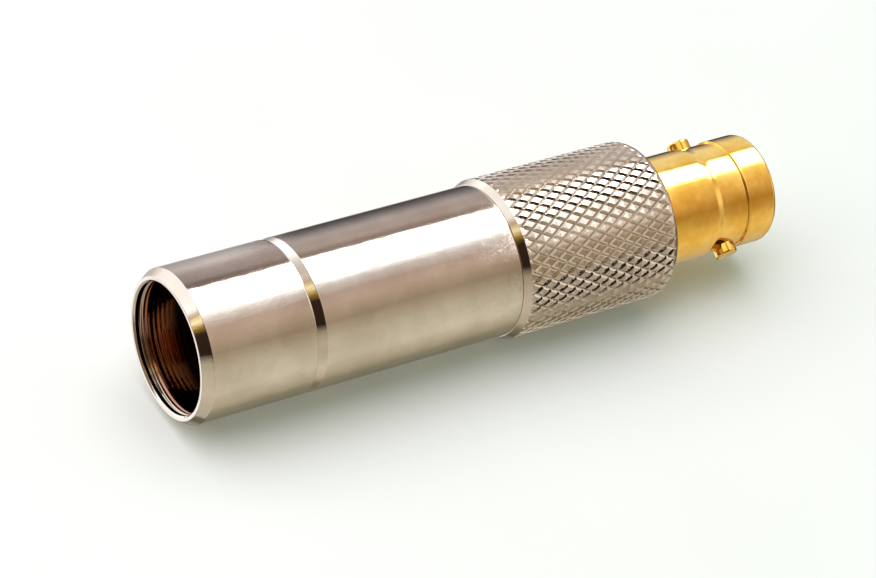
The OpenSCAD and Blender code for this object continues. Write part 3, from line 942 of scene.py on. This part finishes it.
    def hang_sky(self) -> None:
        """Makes the world: zones for mirrored rays, an even glow for the rest and a pale backdrop for the camera."""
        world = bpy.data.worlds.new("studio")
        bpy.context.scene.world = world
        world.use_nodes = True
        tree = world.node_tree
        tree.nodes.clear()
        where = add_node(tree, "ShaderNodeTexCoord").outputs["Generated"]
        over = add_node(tree, "ShaderNodeVectorMath", "DOT_PRODUCT", {0: where, 1: self.over})
        front = add_node(tree, "ShaderNodeVectorMath", "DOT_PRODUCT", {0: where, 1: self.front})
        angle = add_node(tree, "ShaderNodeMath", "ARCTAN2", {0: front.outputs["Value"], 1: over.outputs["Value"]})
        share = add_node(tree, "ShaderNodeMapRange", None, {"Value": angle, "From Min": -math.pi, "From Max": math.pi})
        sides, mouth, jack, far, wall = (
            add_node(tree, "ShaderNodeValToRGB", {"stops": self.stops(zones)}, {"Fac": share}).outputs["Color"]
            for zones in (self.zones(), self.mouth_zones(), self.jack_zones(), self.far_zones(), self.wall_zones()))
        lift = add_node(tree, "ShaderNodeSeparateXYZ", None, {0: where}).outputs["Z"]
        sky = sides
        for card in self.tube_cards():
            sky = self.lay_card(tree, sky, card, share, lift)
        sky = self.lay_over(tree, sky, jack, lift, -0.52, -0.535)
        sky = self.lay_card(tree, sky, self.band_card(), share, lift)
        dusk = linear(self.ahead, 1 / self.level)
        for colour, first, full in ((wall, -0.3, -0.2), (mouth, 0.065, 0.085), (dusk, 0.7, 0.82), (far, -0.74, -0.82)):
            sky = self.lay_over(tree, sky, colour, lift, first, full)
        zone_light = add_node(tree, "ShaderNodeBackground", None, {"Color": sky, "Strength": self.level})
        glow = add_node(tree, "ShaderNodeBackground", None,
                        {"Color": linear(self.glow), "Strength": self.glow_strength})
        path = add_node(tree, "ShaderNodeLightPath")
        either = add_node(tree, "ShaderNodeMixShader", None,
                          {0: path.outputs["Is Glossy Ray"], 1: glow, 2: zone_light})
        pale = add_node(tree, "ShaderNodeBackground", None, {"Color": linear(self.backdrop), "Strength": 1.0})
        seen = add_node(tree, "ShaderNodeMixShader", None, {0: path.outputs["Is Camera Ray"], 1: either, 2: pale})
        add_node(tree, "ShaderNodeOutputWorld", None, {"Surface": seen})

    def lay_floor(self) -> None:
        """Lays the floor along the tube's side, as the tube lies in the photograph, unseen in the plate."""
        up = self.across(self.floor_turn)
        shape = bmesh.new()
        bmesh.ops.create_grid(shape, x_segments=8, y_segments=8, size=self.floor_half,
                              matrix=Matrix.Translation(-self.floor_gap * MM * up)
                              @ up.to_track_quat("Z", "Y").to_matrix().to_4x4())
        mesh = bpy.data.meshes.new("studio_floor")
        shape.to_mesh(mesh)
        shape.free()
        floor = bpy.data.objects.new("studio_floor", mesh)
        bpy.context.scene.collection.objects.link(floor)
        # Matt white paper: a flat white with a faint cloud of fibres
        paper = Surface("matt_white_paper", 0.0)
        tree = paper.tree
        paper.shader.inputs["Roughness"].default_value = 0.9
        paper.shader.inputs["Specular IOR Level"].default_value = 0.0
        tone = paper.stained(("f4f5f3", "f7f8f6"), 0.2, {"Scale": 40.0, "Detail": 2.0})[1]
        tree.links.new(tone.outputs["Color"], paper.shader.inputs["Base Color"])
        # Seen from behind, the paper is clear, so that the part shows from every side
        back = add_node(tree, "ShaderNodeNewGeometry").outputs["Backfacing"]
        clear = add_node(tree, "ShaderNodeBsdfTransparent")
        sided = add_node(tree, "ShaderNodeMixShader", None, {0: back, 1: paper.shader, 2: clear})
        tree.links.new(sided.outputs[0], tree.nodes["Material Output"].inputs["Surface"])
        mesh.materials.append(paper.material)
        floor.visible_glossy = False

    def hang_key(self, aim: Vector) -> None:
        """Hangs the soft key light above the floor, a little behind the tube.

        Args:
            aim: The point that it shines on.
        """
        lamp = bpy.data.lights.new("key", "AREA")
        lamp.shape = "ELLIPSE"
        lamp.size, lamp.size_y = self.key_size
        lamp.energy = self.key_energy
        lamp.color = self.key_tint
        key = bpy.data.objects.new("key", lamp)
        line = (self.across(self.key_turn) + Vector((0, 0, self.key_lean))).normalized()
        key.matrix_world = (Matrix.Translation(aim + self.key_reach * line)
                            @ line.to_track_quat("Z", "Y").to_matrix().to_4x4())
        key.visible_glossy = False
        bpy.context.scene.collection.objects.link(key)


@dataclass
class PhotoCamera:
    """The camera at the photograph's place. Position, lens and sensor are in millimetres, clip in metres."""

    position: Vector = Vector((67.0, 245.03, 170.45))
    right: Vector = Vector((0.381471, 0.373245, -0.845676))
    up: Vector = Vector((-0.895963, 0.374396, -0.238914))
    back: Vector = Vector((0.227444, 0.848834, 0.477234))
    lens: float = 140.99
    sensor: float = 36.0
    clip: Point = (0.01, 20.0)

    def build(self) -> None:
        """Makes the camera and lets the scene use it."""
        data = bpy.data.cameras.new("photo_camera")
        data.sensor_fit = "HORIZONTAL"
        data.sensor_width = self.sensor
        data.lens = self.lens
        data.clip_start, data.clip_end = self.clip
        camera = bpy.data.objects.new("photo_camera", data)
        turn = Matrix((self.right, self.up, self.back)).transposed().to_4x4()
        camera.matrix_world = Matrix.Translation(self.position * MM) @ turn
        bpy.context.scene.collection.objects.link(camera)
        bpy.context.scene.camera = camera


def main() -> None:
    """Builds the camera, the studio and the pieces in order."""
    logging.basicConfig(level=logging.INFO, format="%(message)s")
    PhotoCamera().build()
    studio = Studio()
    studio.hang_sky()
    studio.lay_floor()
    studio.hang_key(Vector((0, 0, MIDDLE_Z * MM)))
    bpy.context.scene.view_settings.view_transform = "Standard"
    plates: dict[Slot, Finish] = {
        Slot.NICKEL: NickelPlate(), Slot.GOLD: GoldPlate(), Slot.INSULATOR: FLUOROPOLYMER, Slot.STEEL: SPRING_STEEL,
        Slot.BRASS: BARE_BRASS, Slot.COAT: DIPPED_LACQUER, Slot.TIN: TINNED_COPPER}
    finishes = {slot: plate.make() for slot, plate in plates.items()}
    # On the knurl the plate is softer and a little greyer, and darker in the grooves: partly tarnish, partly painted
    # shade
    knurl = NickelPlate("nickel_plate_on_rolled_knurl", "d6cec3", "c8beb2", (0.07, 0.13), relief_mm=0.006,
                        groove="c2b6aa").make()
    # In the bore the colour is painted shade: brown behind the mouth, where the plate is also thinner, and nearly black
    # further in
    bored = NickelPlate("nickel_plate_thinner_with_painted_shade_in_the_bore", groove="945838", deep="120705").make()
    # On the long tube its ripple is flatter, so that the white mirrored band stays calm
    drawn = NickelPlate("nickel_plate_on_drawn_tube", relief_mm=0.007).make()
    place(MouthRing().build(), ["mouth_ring"], bored)
    place(Barrel().build(), ["barrel"], drawn)
    place(KnurledCollar().build(), ["knurled_collar"], knurl)
    place(BayonetJack().build(), ["jack_shell"], finishes[Slot.GOLD])
    InnerWorks().dress(finishes)


if __name__ == "__main__":
    main()
